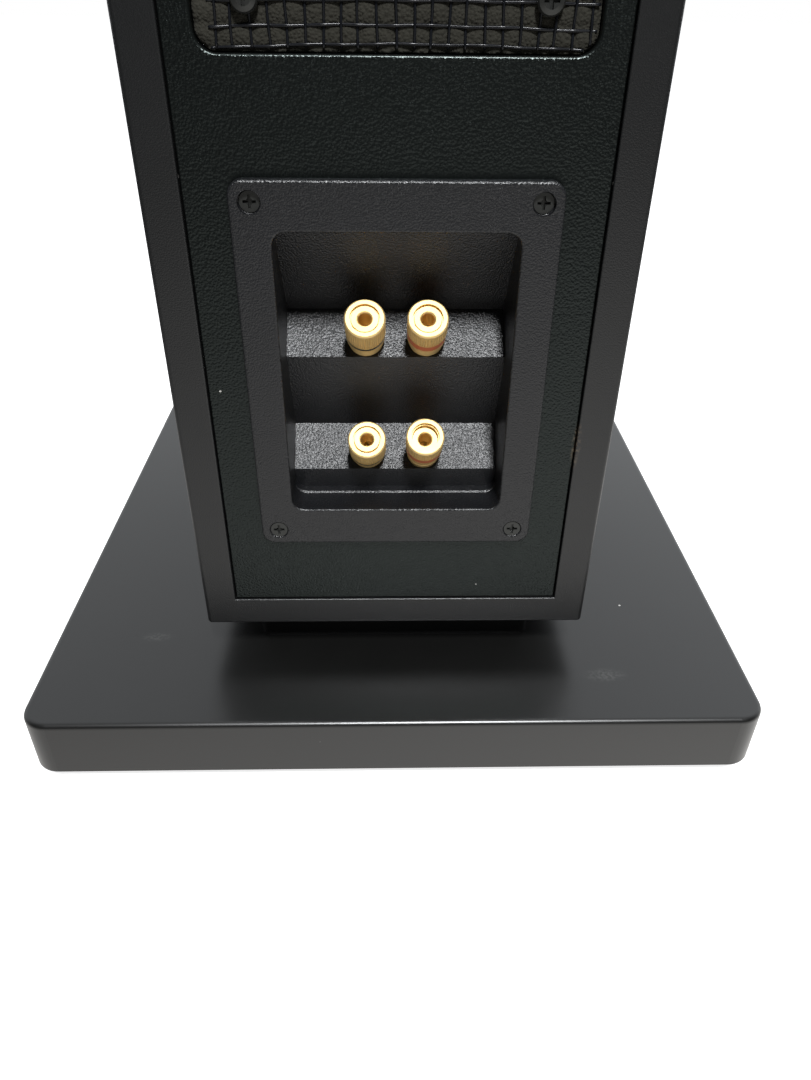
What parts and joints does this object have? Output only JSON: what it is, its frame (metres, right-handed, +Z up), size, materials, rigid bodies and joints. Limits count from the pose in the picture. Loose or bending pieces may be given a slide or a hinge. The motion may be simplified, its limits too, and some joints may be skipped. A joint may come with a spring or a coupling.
{
  "type": "bookshelf speaker",
  "caption": "Compact two-way loudspeaker on a wide plinth, with stepped terminal recess, gold binding posts and a mesh-covered rear vent.",
  "frame": {"origin": "middle of the footprint, on the surface the feet stand on", "axes": "+Z up, front of the cabinet faces -Y, +X to the right seen from the front"},
  "size_m": [0.263, 0.2824, 0.374],
  "materials": {
    "foot_rubber": "moulded matt rubber",
    "screw_steel": "black oxide",
    "zinc_steel": "zinc plated",
    "plinth_paint": "black painted board, satin",
    "wrap_vinyl": "board wrapped in black pebble-grain vinyl",
    "panel_vinyl": "board faced in coarse black pebble-grain vinyl",
    "raw_board": "bare fibreboard",
    "felt": "grey felt",
    "cup_plastic": "fine spark-eroded texture, satin",
    "gasket_foam": "soft foam",
    "gold_plate": "gold plated, polished",
    "band_red": "red",
    "band_black": "black",
    "tag_tin": "tinned brass",
    "mesh_wire": "black painted crimped wire",
    "vent_foam": "brown-black open-cell foam",
    "basket_paint": "black semi-matt",
    "surround_rubber": "butyl rubber",
    "cone_paper": "coated paper pulp",
    "cap_plastic": "dust cap",
    "spider_cloth": "impregnated cloth",
    "coil_copper": "enamelled copper",
    "ferrite": "ferrite",
    "dome_silk": "doped silk",
    "face_plastic": "satin moulding",
    "card_fibre": "phenolic card",
    "cap_film": "film capacitor sleeve",
    "resistor_ceramic": "cement resistor",
    "lead_insulation": "insulated stranded wire"
  },
  "bodies": {
    "cabinet": {"bottom_panel": "wrap_vinyl", "crossover_board": "card_fibre", "crossover_capacitors": "cap_film", "crossover_coils": "coil_copper", "crossover_resistors": "resistor_ceramic", "crossover_screws": "zinc_steel", "crossover_standoffs": "face_plastic", "driver_leads": "lead_insulation", "driver_screws": "screw_steel", "feet": "foot_rubber", "foot_screws": "zinc_steel", "front_baffle": "panel_vinyl", "input_leads": "lead_insulation", "lining_pads": "felt", "plinth": "plinth_paint", "plinth_bolts": "screw_steel", "plinth_inserts": "zinc_steel", "post_nuts": "gold_plate", "post_washers": "face_plastic", "rear_panel": "panel_vinyl", "shelf_brace": "raw_board", "side_panel_left": "wrap_vinyl", "side_panel_right": "wrap_vinyl", "solder_tags": "tag_tin", "spacer": "plinth_paint", "stem_high_black": "gold_plate", "stem_high_red": "gold_plate", "stem_low_black": "gold_plate", "stem_low_red": "gold_plate", "terminal_cup": "cup_plastic", "terminal_gasket": "gasket_foam", "terminal_screws": "screw_steel", "top_panel": "wrap_vinyl", "tweeter_faceplate": "face_plastic", "tweeter_magnet": "ferrite", "tweeter_surround": "dome_silk", "tweeter_top_plate": "zinc_steel", "tweeter_yoke": "zinc_steel", "vent_foam": "vent_foam", "vent_mesh": "mesh_wire", "vent_screws": "screw_steel", "woofer_basket": "basket_paint", "woofer_magnet": "ferrite", "woofer_spider": "spider_cloth", "woofer_surround": "surround_rubber", "woofer_top_plate": "zinc_steel", "woofer_yoke": "zinc_steel"},
    "high_black_band": {"band_high_black": "band_black"},
    "high_black_knob": {"knob_high_black": "gold_plate"},
    "high_red_band": {"band_high_red": "band_red"},
    "high_red_knob": {"knob_high_red": "gold_plate"},
    "low_black_band": {"band_low_black": "band_black"},
    "low_black_knob": {"knob_low_black": "gold_plate"},
    "low_red_band": {"band_low_red": "band_red"},
    "low_red_knob": {"knob_low_red": "gold_plate"},
    "woofer_cone": {"woofer_cone": "cone_paper", "woofer_dust_cap": "cap_plastic", "woofer_voice_coil": "coil_copper"},
    "tweeter_dome": {"tweeter_dome": "dome_silk", "tweeter_voice_coil": "coil_copper"}
  },
  "joints": [
    {"name": "high_black_lift", "type": "slide", "parent": "cabinet", "child": "high_black_band", "axis": [0, 0.7102, 0.704], "range_m": [-0.0005, 0.0055]},
    {"name": "high_black_turn", "type": "hinge", "parent": "high_black_band", "child": "high_black_knob", "pos_m": [0.00953, 0.09453, 0.15332], "axis": [0, 0.7102, 0.704], "range_deg": [-184, 1984]},
    {"name": "high_red_lift", "type": "slide", "parent": "cabinet", "child": "high_red_band", "axis": [0, 0.7102, 0.704], "range_m": [-0.0005, 0.0055]},
    {"name": "high_red_turn", "type": "hinge", "parent": "high_red_band", "child": "high_red_knob", "pos_m": [-0.00953, 0.09453, 0.15332], "axis": [0, 0.7102, 0.704], "range_deg": [-184, 1984]},
    {"name": "low_black_lift", "type": "slide", "parent": "cabinet", "child": "low_black_band", "axis": [0, 0.7102, 0.704], "range_m": [0, 0.006]},
    {"name": "low_black_turn", "type": "hinge", "parent": "low_black_band", "child": "low_black_knob", "pos_m": [0.00953, 0.09453, 0.11292], "axis": [0, 0.7102, 0.704], "range_deg": [-4, 2164]},
    {"name": "low_red_lift", "type": "slide", "parent": "cabinet", "child": "low_red_band", "axis": [0, 0.7102, 0.704], "range_m": [-0.003, 0.003]},
    {"name": "low_red_turn", "type": "hinge", "parent": "low_red_band", "child": "low_red_knob", "pos_m": [-0.00953, 0.09453, 0.11292], "axis": [0, 0.7102, 0.704], "range_deg": [-1084, 1084]},
    {"name": "woofer_travel", "type": "slide", "parent": "cabinet", "child": "woofer_cone", "axis": [0, -1, 0], "range_m": [-0.003, 0.003], "stiffness_N_per_m": 900, "deforming": ["woofer_surround", "woofer_spider"]},
    {"name": "tweeter_travel", "type": "slide", "parent": "cabinet", "child": "tweeter_dome", "axis": [0, -1, 0], "range_m": [-0.0004, 0.0004], "stiffness_N_per_m": 1500, "deforming": ["tweeter_surround"]}
  ],
  "couplings": [
    {"joint": "high_black_turn", "follows": "high_black_lift", "rad_per_m": 6283.2},
    {"joint": "high_red_turn", "follows": "high_red_lift", "rad_per_m": 6283.2},
    {"joint": "low_black_turn", "follows": "low_black_lift", "rad_per_m": 6283.2},
    {"joint": "low_red_turn", "follows": "low_red_lift", "rad_per_m": 6283.2}
  ]
}
